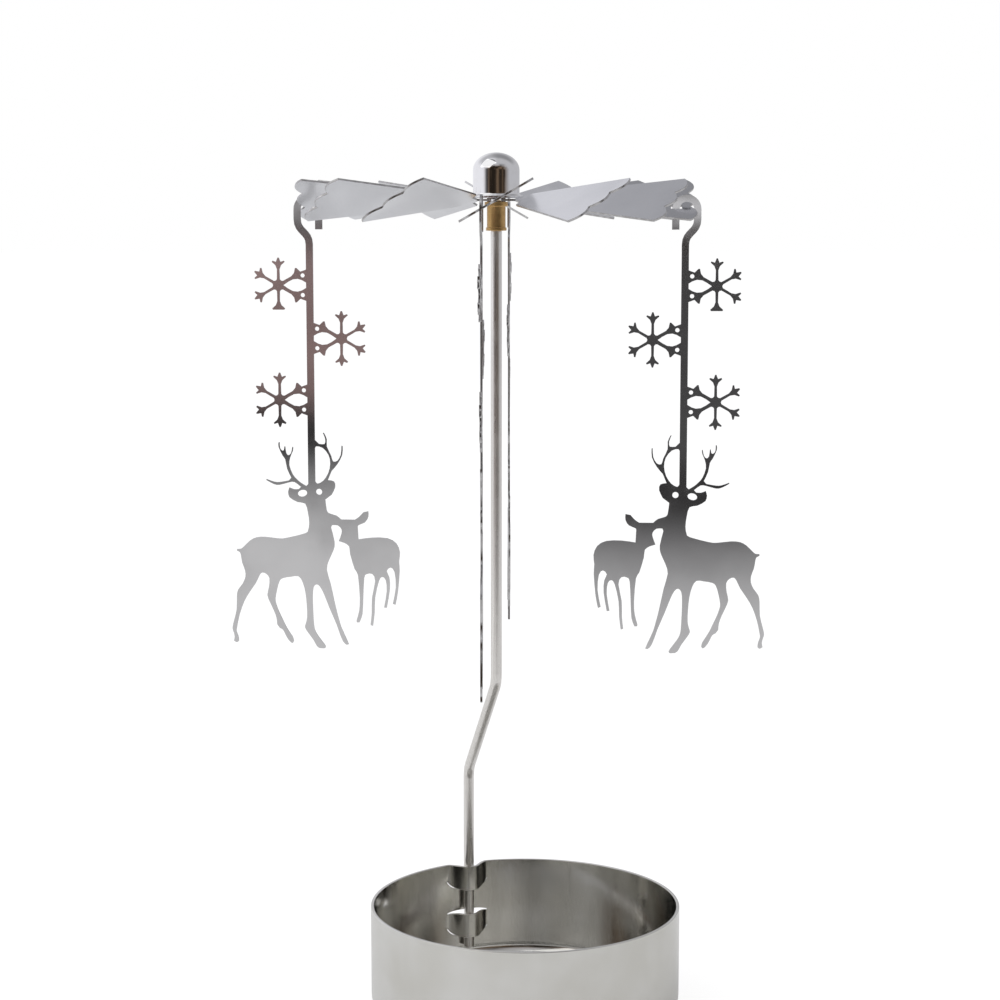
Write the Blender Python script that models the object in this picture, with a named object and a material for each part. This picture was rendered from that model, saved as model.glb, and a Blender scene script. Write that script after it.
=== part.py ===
"""Spinning tealight holder: a drawn steel cup carries a cranked rod, on whose needle point a twelve-bladed
fan turns in the warm air of a tealight. Four cut-sheet figures (a buck and a doe under three snowflakes)
hang by their hooks from slots near the blade tips.

Units are metres, +Z is up and the fan's axis is the Z axis. The front, which faces the viewer, is -Y.
"""
import math

import bmesh
import bpy
import numpy as np
from mathutils import Matrix, Vector

for old in list(bpy.data.objects):
    bpy.data.objects.remove(old, do_unlink=True)

# Driving sizes, metres and degrees

SHEET = 0.0006            # cup sheet
CUP_RADIUS = 0.0300       # outside
CUP_HEIGHT = 0.0210
CUP_CORNER = 0.0032       # bottom corner, at the middle of the sheet
CUP_OFFSET = 0.0056       # cup axis, to the right of the fan's axis
STRAP_AZIMUTH = 113.6     # where the two rod straps stand on the cup's wall
STRAP_HALF = 0.0045       # half a strap's length along the wall
STRAP_FLAT = 0.12         # part of that half which is pressed in fully
STRAP_ROUND = 0.0016      # rounding of a strap's lower corners
STRAP_ROUND_TOP = 0.0004  # rounding of the lower strap's upper corners
STRAP_HEIGHT = 0.0052
STRAP_SPACING = 0.0048    # plain wall between the two straps
SLIT = 0.00025            # height of the cut along a strap

ROD_RADIUS = 0.00105
ROD_BEND = 0.0045         # bend radius at the middle of the rod
CRANK_LOW = 0.0412        # height where the lower bend's corner lies
CRANK_HIGH = 0.0646       # height where the upper bend's corner lies
NEEDLE_LENGTH = 0.0040
POINT_RADIUS = 0.00015    # radius left at the needle's point
NEEDLE_RISE = 0.0056      # point above the middle of the fan's sheet

FAN_Z = 0.1567            # middle of the fan's sheet
FAN_SHEET = 0.0004
BLADES = 12
PITCH = 30.0              # blades lean up towards the anticlockwise side
HUB_RADIUS = 0.0080
NECK_HALF_WIDTH = 0.0009
BLADE_ROOT = 0.0103
ROOT_HALF_WIDTH = 0.0020
CORNER_RADIUS = 0.0359    # distance of a blade's outer corners from the axis
BLADE_HALF_WIDTH = 0.0074  # at the outer corners
LOBES = 3
LOBE_RISE = 0.0014        # how far a lobe bulges beyond its ends
SLOT_SIDE = -0.0029       # slot's place across the blade, on its low side
SLOT_HALF_WIDTH = 0.0006
BRIDGE = 0.00175          # blade metal left between the slot and the tip

SLEEVE_RADIUS = 0.00175
SLEEVE_LIP = 0.00018      # lip at the lower end, beyond the sleeve
SLEEVE_LIP_HEIGHT = 0.0006
SLEEVE_DROP = 0.0057      # sleeve's lower end, below the middle of the fan's sheet
SHOULDER_RADIUS = 0.0022
SHOULDER_HEIGHT = 0.0008
CAP_RADIUS = 0.00435
CAP_FLANGE = 0.0007       # flange beyond the cap's side
CAP_SHEET = 0.0005
CAP_HEIGHT = 0.00845
CAP_CROWN = 0.0033        # rise of the cap's domed top over its straight side
SEAT_RADIUS = 0.0020

FIGURE_SHEET = 0.0004
FIGURE_TURN = 3.0         # figures hang turned a little towards the blade's low side
FIGURE_DROP = 0.08345     # lowest hoof below the drawing's zero
STEM_WIDTH = 0.00136
HOOK_INSIDE = 0.00135     # inner radius of the hook
HOOK_LEG = 0.0038         # straight end of the hook
HOOK_SHIFT = 0.00020      # hook's middle, outwards of the stem's middle
HOOK_RISE = 0.00065       # hook's middle, above the drawing's zero
FLAKE_REACH = 0.00595     # middle of a flake from the stem's middle

FIT_GAP = 0.00015         # between pieces that are fixed together
RUN_GAP = 0.00030         # between pieces that move on each other

ROUND = 40                # sides of the small turned pieces

# Places that follow from the sizes

WALL_MIDDLE = CUP_RADIUS - SHEET / 2
ROD_CIRCLE = WALL_MIDDLE - SHEET / 2 - FIT_GAP - ROD_RADIUS
STRAP_DEPTH = SHEET + 2 * ROD_RADIUS + 2 * FIT_GAP
UPPER_STRAP = CUP_HEIGHT - STRAP_HEIGHT
WINDOW = UPPER_STRAP - STRAP_SPACING
LOWER_STRAP = WINDOW - STRAP_HEIGHT

STRAP_ANGLE = math.radians(STRAP_AZIMUTH)
ROD_FOOT = Vector((CUP_OFFSET + ROD_CIRCLE * math.cos(STRAP_ANGLE), ROD_CIRCLE * math.sin(STRAP_ANGLE), 0))

PITCH_ANGLE = math.radians(PITCH)
FAN_TOP = FAN_Z + FAN_SHEET / 2
NEEDLE_Z = FAN_Z + NEEDLE_RISE
SLEEVE_BOTTOM = FAN_Z - SLEEVE_DROP
SLEEVE_BORE = ROD_RADIUS + RUN_GAP
SEAT_BOTTOM = NEEDLE_Z + RUN_GAP - SLEEVE_BORE
SLEEVE_TOP = SEAT_BOTTOM - FIT_GAP
FAN_HOLE = SLEEVE_RADIUS + FIT_GAP
CAP_BOTTOM = FAN_TOP + FIT_GAP
CAP_TOP = CAP_BOTTOM + CAP_HEIGHT
CAP_INSIDE = CAP_RADIUS - CAP_SHEET
CROWN_Z = CAP_TOP - CAP_CROWN
LINING_RISE = CAP_CROWN - CAP_SHEET
SEAT_TOP = CROWN_Z + LINING_RISE * math.sqrt(1 - (SEAT_RADIUS / CAP_INSIDE) ** 2) - FIT_GAP

HOOK_OUTSIDE = HOOK_INSIDE + STEM_WIDTH


def material(name, colour, roughness, metallic):
    """A plain Principled material."""
    made = bpy.data.materials.new(name)
    made.use_nodes = True
    shader = made.node_tree.nodes["Principled BSDF"]
    shader.inputs["Base Color"].default_value = (*colour, 1.0)
    shader.inputs["Roughness"].default_value = roughness
    shader.inputs["Metallic"].default_value = metallic
    return made


STEEL = material("polished_steel", (0.62, 0.62, 0.64), 0.12, 1.0)
CUP_STEEL = material("drawn_steel", (0.58, 0.57, 0.54), 0.18, 1.0)
ROD_STEEL = material("rod_steel", (0.55, 0.55, 0.56), 0.20, 1.0)
CHROME = material("chrome", (0.66, 0.66, 0.68), 0.06, 1.0)
BRASS = material("brass", (0.72, 0.53, 0.24), 0.22, 1.0)
SEAT_STEEL = material("hard_steel", (0.45, 0.45, 0.47), 0.25, 1.0)


def node(name, data, finish, smooth_angle=None):
    """Links a mesh or curve as a named object with one material."""
    made = bpy.data.objects.new(name, data)
    bpy.context.collection.objects.link(made)
    data.materials.append(finish)
    if smooth_angle is not None:
        data.shade_smooth()
        data.set_sharp_from_angle(angle=math.radians(smooth_angle))
    return made


def mesh_from(work, name):
    """Turns a bmesh into mesh data with its faces pointing outwards."""
    bmesh.ops.recalc_face_normals(work, faces=work.faces)
    data = bpy.data.meshes.new(name)
    work.to_mesh(data)
    work.free()
    return data


def turned(name, profile, finish):
    """A turned piece: the closed profile of (radius, height) points spun about the Z axis."""
    work = bmesh.new()
    rings = []
    angles = [2 * math.pi * step / ROUND for step in range(ROUND)]
    for radius, height in profile:
        if radius == 0:
            rings.append([work.verts.new((0, 0, height))] * ROUND)
            continue
        rings.append([work.verts.new((radius * math.cos(a), radius * math.sin(a), height)) for a in angles])
    for lower, upper in zip(rings, rings[1:] + rings[:1]):
        for step in range(ROUND):
            after = (step + 1) % ROUND
            corners = [lower[step], lower[after], upper[after], upper[step]]
            corners = list(dict.fromkeys(corners))
            if len(corners) > 2:
                work.faces.new(corners)
    return node(name, mesh_from(work, name), finish, smooth_angle=35)


def arc(centre, radius, start, end, steps):
    """Points of a circular arc, angles in degrees."""
    angles = np.radians(np.linspace(start, end, steps + 1))
    return [(centre[0] + radius * math.cos(a), centre[1] + radius * math.sin(a)) for a in angles]


# Cup: one drawn sheet with two straps pressed inwards for the rod

def cup():
    """The cup's middle surface as rings from the floor's centre to the rim, thickened afterwards.

    A ring is (radius, height, pressed, lift). Pressed rings follow the straps inwards between the strap's ends.
    Between a plain ring and a pressed ring the sheet is slit along the strap, and the lift bends the slit
    towards the strap's ends, which rounds the strap's corners.
    """
    floor_edge = WALL_MIDDLE - CUP_CORNER
    bottom = SHEET / 2
    rings = [(floor_edge * part, bottom, False, 0) for part in (0.35, 0.75)]
    corner = arc((floor_edge, bottom + CUP_CORNER), CUP_CORNER, -90, 0, 5)
    rings += [(radius, height, False, 0) for radius, height in corner]
    half = SLIT / 2
    slits = ((LOWER_STRAP, True, STRAP_ROUND), (WINDOW, False, -STRAP_ROUND_TOP), (UPPER_STRAP, True, STRAP_ROUND))
    for height, strap_above, lift in slits:
        rings.append((WALL_MIDDLE, height - half, not strap_above, lift))
        rings.append((WALL_MIDDLE, height + half, strap_above, lift))
    rings.append((WALL_MIDDLE, CUP_HEIGHT, True, 0))

    strap_places = np.linspace(-1, 1, 17)
    strap_half_angle = STRAP_HALF / WALL_MIDDLE
    plain_steps = 54
    plain_angle = (2 * math.pi - 2 * strap_half_angle) / plain_steps
    columns = [(STRAP_ANGLE + place * strap_half_angle, abs(place)) for place in strap_places]
    plain_start = STRAP_ANGLE + strap_half_angle
    columns += [(plain_start + step * plain_angle, 1) for step in range(1, plain_steps)]

    def inward(place):
        """How far a strap is pressed in: full over its middle, easing to nothing at its ends."""
        ease = min(1.0, (1 - place) / (1 - STRAP_FLAT))
        return STRAP_DEPTH * ease * ease * (3 - 2 * ease)

    work = bmesh.new()
    centre = work.verts.new((CUP_OFFSET, 0, bottom))
    grid = []
    for radius, height, pressed, lift in rings:
        ring = []
        for angle, place in columns:
            reach = radius - (inward(place) if pressed else 0)
            x = CUP_OFFSET + reach * math.cos(angle)
            y = reach * math.sin(angle)
            ring.append(work.verts.new((x, y, height + lift * place ** 4)))
        grid.append(ring)
    count = len(columns)
    for step in range(count):
        work.faces.new((centre, grid[0][step], grid[0][(step + 1) % count]))
    for level in range(len(rings) - 1):
        lower, upper = grid[level], grid[level + 1]
        slit = rings[level][2] != rings[level + 1][2]
        for step in range(count):
            after = (step + 1) % count
            if slit and step < len(strap_places) - 1:
                continue
            work.faces.new((lower[step], lower[after], upper[after], upper[step]))
    made = node("candle_cup", mesh_from(work, "candle_cup"), CUP_STEEL, smooth_angle=40)
    thick = made.modifiers.new("Sheet", "SOLIDIFY")
    thick.thickness = SHEET
    thick.offset = 0.0
    thick.use_even_offset = True
    return made


# Rod: bent wire from the straps up to the needle point on the fan's axis

def fillet(before, corner, after, radius, steps):
    """Points of the bend that rounds a corner of the rod's path."""
    towards = (before - corner).normalized()
    onwards = (after - corner).normalized()
    half = towards.angle(onwards) / 2
    centre = corner + (towards + onwards).normalized() * (radius / math.sin(half))
    start = corner + towards * (radius / math.tan(half)) - centre
    normal = start.cross(corner + onwards * (radius / math.tan(half)) - centre).normalized()
    sweep = math.pi - 2 * half
    return [centre + Matrix.Rotation(sweep * step / steps, 3, normal) @ start for step in range(steps + 1)]


def rod():
    foot = ROD_FOOT + Vector((0, 0, SHEET / 2 + CUP_CORNER))
    low = ROD_FOOT + Vector((0, 0, CRANK_LOW))
    high = Vector((0, 0, CRANK_HIGH))
    needle_start = Vector((0, 0, NEEDLE_Z - NEEDLE_LENGTH))
    needle_end = Vector((0, 0, NEEDLE_Z))
    path = [foot]
    path += fillet(foot, low, high, ROD_BEND, 6)
    path += fillet(low, high, needle_start, ROD_BEND, 6)
    path += [needle_start, needle_end]
    data = bpy.data.curves.new("stand_rod", "CURVE")
    data.dimensions = "3D"
    data.bevel_depth = ROD_RADIUS
    data.bevel_resolution = 6
    data.use_fill_caps = True
    spline = data.splines.new("POLY")
    spline.points.add(len(path) - 1)
    for point, place in zip(spline.points, path):
        point.co = (*place, 1)
        point.radius = 1.0
    spline.points[-1].radius = POINT_RADIUS / ROD_RADIUS
    spline.use_smooth = True
    return node("stand_rod", data, ROD_STEEL)


# Fan: one sheet with twelve blades twisted at their necks

def fan_point(reach, across, angle, lean):
    """A point of the fan's middle surface: along the blade, across it, and lifted by its lean."""
    side = across * math.cos(lean)
    return (
        reach * math.cos(angle) - side * math.sin(angle),
        reach * math.sin(angle) + side * math.cos(angle),
        FAN_Z + across * math.sin(lean),
    )


def tip_edge(across):
    """Distance of the lobed tip from the axis at a place across the blade."""
    lobe = 2 * BLADE_HALF_WIDTH / LOBES
    part = ((across + BLADE_HALF_WIDTH) % lobe) / lobe
    return CORNER_RADIUS + 4 * LOBE_RISE * part * (1 - part)


SLOT_END = tip_edge(SLOT_SIDE) - BRIDGE
HOOK_REACH = SLOT_END + BRIDGE / 2
SLOT_START = HOOK_REACH - HOOK_OUTSIDE - RUN_GAP


def fan():
    neck_rows = 6
    hub_steps = 3
    lobe_steps = 6
    neck_places = (-1.0, 0.0, 1.0)
    sector = 2 * math.pi / BLADES
    neck_angle = math.asin(NECK_HALF_WIDTH / HUB_RADIUS)
    work = bmesh.new()
    inner_ring = []
    outer_ring = []
    for blade in range(BLADES):
        middle = blade * sector
        hub_angles = [middle + place * neck_angle for place in neck_places]
        gap = sector - 2 * neck_angle
        hub_angles += [hub_angles[-1] + gap * step / hub_steps for step in range(1, hub_steps)]
        inner = [work.verts.new(fan_point(FAN_HOLE, 0, angle, 0)) for angle in hub_angles]
        outer = [work.verts.new(fan_point(HUB_RADIUS, 0, angle, 0)) for angle in hub_angles]
        inner_ring += inner
        outer_ring += outer

        row = outer[:len(neck_places)]
        neck_foot = HUB_RADIUS * math.cos(neck_angle)
        for step in range(1, neck_rows + 1):
            part = step / neck_rows
            lean = PITCH_ANGLE * part * part * (3 - 2 * part)
            reach = neck_foot + (BLADE_ROOT - neck_foot) * part
            places = [fan_point(reach, place * NECK_HALF_WIDTH, middle, lean) for place in neck_places]
            new_row = [work.verts.new(place) for place in places]
            for side in range(len(neck_places) - 1):
                work.faces.new((row[side], row[side + 1], new_row[side + 1], new_row[side]))
            row = new_row

        outline = [(BLADE_ROOT, ROOT_HALF_WIDTH)]
        edge = np.linspace(BLADE_HALF_WIDTH, -BLADE_HALF_WIDTH, LOBES * lobe_steps + 1)
        outline += [(tip_edge(across), across) for across in edge[:-1]]
        outline += [(CORNER_RADIUS, -BLADE_HALF_WIDTH), (BLADE_ROOT, -ROOT_HALF_WIDTH)]
        places = [fan_point(reach, across, middle, PITCH_ANGLE) for reach, across in outline]
        loops = [row + [work.verts.new(place) for place in places]]
        if blade % (BLADES // 4) == 0:
            corners = [(SLOT_START, -SLOT_HALF_WIDTH), (SLOT_END, -SLOT_HALF_WIDTH)]
            corners += [(SLOT_END, SLOT_HALF_WIDTH), (SLOT_START, SLOT_HALF_WIDTH)]
            places = [fan_point(reach, SLOT_SIDE + side, middle, PITCH_ANGLE) for reach, side in corners]
            loops.append([work.verts.new(place) for place in places])
        fill(work, loops)
    count = len(inner_ring)
    for step in range(count):
        after = (step + 1) % count
        work.faces.new((inner_ring[step], inner_ring[after], outer_ring[after], outer_ring[step]))
    made = node("rotor_fan", mesh_from(work, "rotor_fan"), STEEL, smooth_angle=25)
    thick = made.modifiers.new("Sheet", "SOLIDIFY")
    thick.thickness = FAN_SHEET
    thick.offset = 0.0
    thick.use_even_offset = True
    return made


def fill(work, loops):
    """Fills flat loops of vertices, the first the outside and the rest holes."""
    edges = []
    for loop in loops:
        for start, end in zip(loop, loop[1:] + loop[:1]):
            edges.append(work.edges.get((start, end)) or work.edges.new((start, end)))
    return bmesh.ops.triangle_fill(work, edges=edges, use_beauty=True, use_dissolve=False)


# Hub: brass sleeve below the fan, chromed cap above it, hard seat on the needle point

def hub():
    shoulder_top = FAN_Z - FAN_SHEET / 2 - FIT_GAP
    shoulder_bottom = shoulder_top - SHOULDER_HEIGHT
    lip = SLEEVE_RADIUS + SLEEVE_LIP
    lip_top = SLEEVE_BOTTOM + SLEEVE_LIP_HEIGHT
    sleeve = turned("bearing_sleeve", [
        (SLEEVE_BORE, SLEEVE_BOTTOM),
        (lip, SLEEVE_BOTTOM),
        (lip, lip_top),
        (SLEEVE_RADIUS, lip_top),
        (SLEEVE_RADIUS, shoulder_bottom),
        (SHOULDER_RADIUS, shoulder_bottom),
        (SHOULDER_RADIUS, shoulder_top),
        (SLEEVE_RADIUS, shoulder_top),
        (SLEEVE_RADIUS, SLEEVE_TOP),
        (SLEEVE_BORE, SLEEVE_TOP),
    ], BRASS)

    flange = CAP_RADIUS + CAP_FLANGE
    quarter = arc((0, 0), 1, 0, 90, 9)[:-1]
    outer_crown = [(CAP_RADIUS * out, CROWN_Z + CAP_CROWN * up) for out, up in quarter]
    inner_crown = [(CAP_INSIDE * out, CROWN_Z + LINING_RISE * up) for out, up in reversed(quarter)]
    cap = turned("hub_cap", [
        (CAP_INSIDE, CAP_BOTTOM),
        (flange, CAP_BOTTOM),
        (flange, CAP_BOTTOM + CAP_SHEET),
        (CAP_RADIUS, CAP_BOTTOM + CAP_SHEET),
        *outer_crown,
        (0, CAP_TOP),
        (0, CAP_TOP - CAP_SHEET),
        *inner_crown,
    ], CHROME)

    dimple_top = NEEDLE_Z + RUN_GAP
    seat = turned("pivot_seat", [
        (SLEEVE_BORE, SEAT_BOTTOM),
        (SEAT_RADIUS, SEAT_BOTTOM),
        (SEAT_RADIUS, SEAT_TOP),
        (0, SEAT_TOP),
        (0, dimple_top),
    ], SEAT_STEEL)
    return sleeve, cap, seat


# Figure: stem with a hook, three snowflakes, a buck and a doe, cut from one flat sheet.
# Outlines are drawn in millimetres for a figure of the height below: x outwards from the stem's middle,
# y up from the drawing's zero. UNIT turns a drawn millimetre into metres.

DRAWN_DROP = 83.45
UNIT = FIGURE_DROP / DRAWN_DROP

S_BEND = (-1.9, -6.6)     # heights, from the hook's middle, where the bend down to the stem starts and ends
S_BEND_PULL = 2.45        # length of the straight pull at both ends of that bend

# Corners of half a flake's arm from its foot to its tip, as (along, aside)
ARM = [(1.15, 0.27), (3.0, 0.24), (3.75, 0.52), (4.38, 1.22), (4.62, 1.08), (4.40, 0.42), (5.2, 0.12)]
PRONG = 3                 # first corner of the side prong in ARM
ARM_NOTCH = 1.0           # between the feet of two arms
STEM_JOIN = 2.95          # where a flake's outside meets the stem, above and below its middle
EYELET = (-4.62, 1.85)    # small hole beside the stem, from the flake's middle
EYELET_RADIUS = 0.42
EYELET_BRIDGE = (0.45, 0.7)   # corner of the metal round the eyelet, from the eyelet's middle
FLAKES = [(1, -13.65, True), (-1, -23.7, False), (1, -35.4, False)]

# Outward side: antler, brow tine, ear, neck, back and tail, then the four legs and the chest
BUCK = [
    [(1.1, -51.9), (2.1, -51.3), (2.9, -50.6), (3.65, -49.7), (4.3, -47.9), (4.1, -46.4),
     (3.6, -45.2), (3.5, -44.4)],
    [(3.66, -44.4), (3.9, -45.5), (4.4, -46.0), (4.85, -45.6), (5.03, -44.3)],
    [(5.18, -44.3), (5.3, -45.0), (5.65, -45.1), (6.05, -44.6), (6.1, -43.5)],
    [(6.28, -43.5), (6.3, -44.4), (5.55, -46.05), (5.05, -46.8), (4.7, -48.6), (3.93, -50.3)],
    [(4.4, -50.85), (6.2, -51.17), (7.3, -51.1), (8.7, -50.6)],
    [(8.75, -50.78), (7.3, -51.55), (6.2, -51.7), (4.3, -51.2), (3.3, -51.15), (2.1, -52.05)],
    [(2.5, -52.5), (3.4, -52.55), (4.33, -52.2)],
    [(4.57, -53.0), (4.3, -54.1), (2.75, -55.0), (1.3, -55.3), (0.8, -57.0), (0.57, -59.0),
     (0.8, -60.4), (1.4, -61.05), (4.9, -61.95), (6.5, -62.1), (9.2, -61.8), (10.9, -61.93),
     (12.1, -62.55), (13.3, -63.7), (13.85, -64.15), (14.6, -64.2)],
    [(14.6, -64.5), (14.0, -64.85), (13.8, -65.7), (13.6, -66.9), (13.1, -68.3), (13.05, -69.6),
     (13.6, -70.9), (14.5, -72.1), (14.75, -73.4), (14.85, -76.0), (15.4, -78.2), (15.7, -79.6),
     (15.45, -80.5), (15.3, -81.3), (15.45, -82.1)],
    [(14.95, -82.4), (14.5, -82.15), (14.6, -81.2), (14.92, -80.3), (14.85, -79.5), (14.3, -77.0),
     (13.4, -74.5), (12.3, -72.6), (11.05, -70.8), (10.25, -69.15), (9.7, -68.72), (9.0, -68.97),
     (8.4, -69.8), (8.5, -71.5), (8.83, -73.1), (8.3, -74.6), (7.57, -76.2), (7.1, -77.6), (7.0, -78.8)],
    [(6.5, -79.5), (5.9, -79.85), (5.5, -80.6), (5.05, -81.5), (4.4, -82.3), (4.0, -82.45)],
    [(3.8, -82.1), (4.0, -81.3), (4.65, -80.3), (5.35, -79.1), (5.85, -78.0), (6.6, -76.4),
     (7.15, -74.9), (7.3, -73.8), (6.95, -72.0), (6.45, -70.35), (5.7, -69.75), (4.2, -69.5),
     (2.75, -69.4), (1.95, -70.6), (1.45, -72.6), (1.22, -75.0), (1.17, -77.3), (1.45, -78.6),
     (1.62, -79.35), (1.0, -80.4), (0.0, -81.8), (-0.65, -83.0), (-1.2, -83.4)],
    [(-2.15, -83.45), (-2.4, -83.15), (-1.95, -82.4), (-1.05, -81.2), (-0.4, -80.1), (-0.12, -78.9),
     (0.02, -76.0), (0.07, -73.4), (-0.1, -71.6), (-0.7, -70.95), (-1.4, -71.4), (-2.2, -73.0),
     (-3.2, -75.6), (-4.5, -78.7), (-5.1, -80.5), (-5.75, -82.05), (-6.4, -82.7)],
    [(-6.85, -82.6), (-6.35, -81.4), (-5.4, -79.25), (-4.85, -77.3), (-4.33, -75.2), (-3.45, -71.0),
     (-2.7, -68.1), (-3.15, -66.25), (-4.05, -64.25), (-4.25, -62.7), (-3.6, -59.9)],
]
# Inward side: the doe's face, legs, back, ear and brow, then the buck's second ear and antler up to the stem
DOE = [
    [(-3.8, -59.42), (-4.9, -59.45), (-5.63, -60.2), (-5.6, -61.1), (-5.08, -62.5)],
    [(-6.15, -62.83), (-7.07, -63.5), (-7.25, -65.0), (-8.1, -67.9), (-8.72, -69.05),
     (-9.05, -73.45), (-8.9, -76.05), (-8.38, -77.9), (-8.5, -78.3)],
    [(-8.95, -78.3), (-9.52, -76.7), (-9.7, -73.45), (-9.9, -69.7), (-10.4, -68.88),
     (-11.5, -68.83), (-12.03, -70.2), (-11.4, -73.45), (-11.33, -76.45), (-11.08, -78.8)],
    [(-11.55, -78.95), (-11.87, -76.45), (-12.0, -73.45), (-12.75, -70.2), (-13.4, -69.4),
     (-14.07, -70.0), (-14.25, -72.15), (-13.72, -75.35)],
    [(-14.24, -75.4), (-14.85, -71.8), (-14.75, -69.5), (-14.25, -68.3), (-15.0, -67.55),
     (-15.77, -68.4), (-16.0, -71.4), (-15.4, -74.6)],
    [(-15.92, -74.8), (-16.4, -72.3), (-16.75, -68.25), (-16.65, -66.4), (-16.82, -64.6),
     (-16.15, -62.9), (-14.45, -61.9), (-11.5, -61.8), (-8.87, -62.15)],
    [(-8.75, -59.95), (-8.87, -59.4), (-10.15, -58.85), (-10.8, -57.8), (-10.8, -56.7)],
    [(-9.83, -56.9), (-9.0, -57.8), (-8.2, -58.35)],
    [(-5.55, -58.35), (-4.65, -57.6), (-3.1, -57.1), (-2.75, -56.2), (-2.55, -54.5)],
    [(-3.8, -53.55), (-4.48, -52.1), (-4.25, -51.0), (-3.08, -50.75)],
    [(-3.82, -49.0), (-4.95, -47.67), (-5.88, -45.9), (-5.97, -44.2)],
    [(-5.77, -44.1), (-5.63, -45.8), (-4.95, -47.0), (-4.1, -47.15), (-3.75, -46.05),
     (-2.95, -44.3), (-2.95, -42.9), (-2.42, -41.7)],
    [(-2.22, -41.65), (-2.66, -42.8), (-2.53, -43.8), (-1.43, -43.8)],
]
ANTLER_TOP = -43.05       # where the inward antler leaves the stem
ANTLER_WINDOW = [
    (-0.95, -44.25), (-2.16, -44.55), (-3.27, -45.9), (-3.58, -47.6), (-3.17, -49.4), (-2.2, -50.85),
    (-1.09, -51.45),
]
WINDOW_TOP = -44.7
WINDOW_FOOT = -51.0
HEAD_TOP = -51.5          # where the buck's head meets the stem's outward edge
EYES = [((1.8, -53.3), (0.93, 0.66), -15), ((-1.39, -53.0), (0.6, 0.6), 0)]


def smooth(points, steps=2):
    """A run of points rounded by a Catmull-Rom spline that passes through all of them."""
    known = np.array(points, float)
    padded = np.vstack([2 * known[0] - known[1], known, 2 * known[-1] - known[-2]])
    p0, p1, p2, p3 = padded[:-3], padded[1:-2], padded[2:-1], padded[3:]
    rounded = []
    for part in np.arange(steps) / steps:
        rounded.append(p1 + 0.5 * part * (p2 - p0 + part * (
            2 * p0 - 5 * p1 + 4 * p2 - p3 + part * (3 * (p1 - p2) + p3 - p0))))
    run = np.stack(rounded, axis=1).reshape(-1, 2)
    return [tuple(point) for point in run] + [tuple(known[-1])]


def flake(side, height, open_foot):
    """Outline of a snowflake from the stem's upper join round to its lower join, and its three holes.

    The six arms repeat one profile every 60 degrees. The two arms towards the stem run into it.
    """
    reach = FLAKE_REACH / UNIT
    stem = STEM_WIDTH / UNIT / 2

    def place(angle, along, aside):
        c, s = math.cos(math.radians(angle)), math.sin(math.radians(angle))
        return side * (reach + along * c - aside * s), height + along * s + aside * c

    def from_middle(point):
        return side * (reach + point[0]), height + point[1]

    bridge = (EYELET[0] + EYELET_BRIDGE[0], EYELET[1] + EYELET_BRIDGE[1])
    outline = [(side * stem, height + STEM_JOIN), from_middle(bridge)]
    outline += [place(150, along, -aside) for along, aside in reversed(ARM[PRONG:PRONG + 2])]
    outline += [place(150, along, -aside) for along, aside in reversed(ARM[:PRONG])]
    for angle in (90, 30, -30, -90):
        outline.append(place(angle + 30, ARM_NOTCH, 0))
        arm = ARM[:-2] if open_foot and angle == -90 else ARM
        outline += [place(angle, along, aside) for along, aside in arm]
        outline += [place(angle, along, -aside) for along, aside in reversed(arm)]
    outline.append(place(-120, ARM_NOTCH, 0))
    outline += [place(-150, along, aside) for along, aside in ARM[:PRONG + 2]]
    outline += [from_middle((bridge[0], -bridge[1])), (side * stem, height - STEM_JOIN)]

    wall = stem - reach
    upper = [(-0.95, 0.0), (-1.8, 0.6), (-2.75, 1.1), (-3.7, 1.2), (-4.5, 0.95), (wall, 0.5)]
    window = [from_middle(point) for point in upper]
    window += [from_middle((x, -y)) for x, y in reversed(upper[1:])]
    holes = [window]
    for up in (1, -1):
        middle = from_middle((EYELET[0], up * EYELET[1]))
        holes.append(arc(middle, EYELET_RADIUS, 0, 315, 7))
    return outline, holes


def strip(path, width):
    """Both sides of a strip of even width along a path."""
    line = np.array(path, float)
    along = np.gradient(line, axis=0)
    along /= np.linalg.norm(along, axis=1)[:, None]
    aside = np.stack([-along[:, 1], along[:, 0]], axis=1) * width / 2
    return [tuple(p) for p in line + aside], [tuple(p) for p in line - aside]


def hook_path():
    """Middle line of the hook: its end, over the top, and an S bend down to the stem."""
    radius = (HOOK_INSIDE + STEM_WIDTH / 2) / UNIT
    shift = HOOK_SHIFT / UNIT
    rise = HOOK_RISE / UNIT
    leg = HOOK_LEG / UNIT
    path = [(shift - radius, rise - leg), (shift - radius, rise - leg / 2)]
    path += arc((shift, rise), radius, 180, 0, 14)
    start = np.array([shift + radius, rise + S_BEND[0]])
    end = np.array([0.0, rise + S_BEND[1]])
    pull = np.array([0.0, S_BEND_PULL])
    bend = np.array([start, start - pull, end + pull, end])
    for part in np.linspace(0, 1, 9):
        rest = 1 - part
        weights = np.array([rest ** 3, 3 * rest ** 2 * part, 3 * rest * part ** 2, part ** 3])
        path.append(tuple(weights @ bend))
    return path


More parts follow.
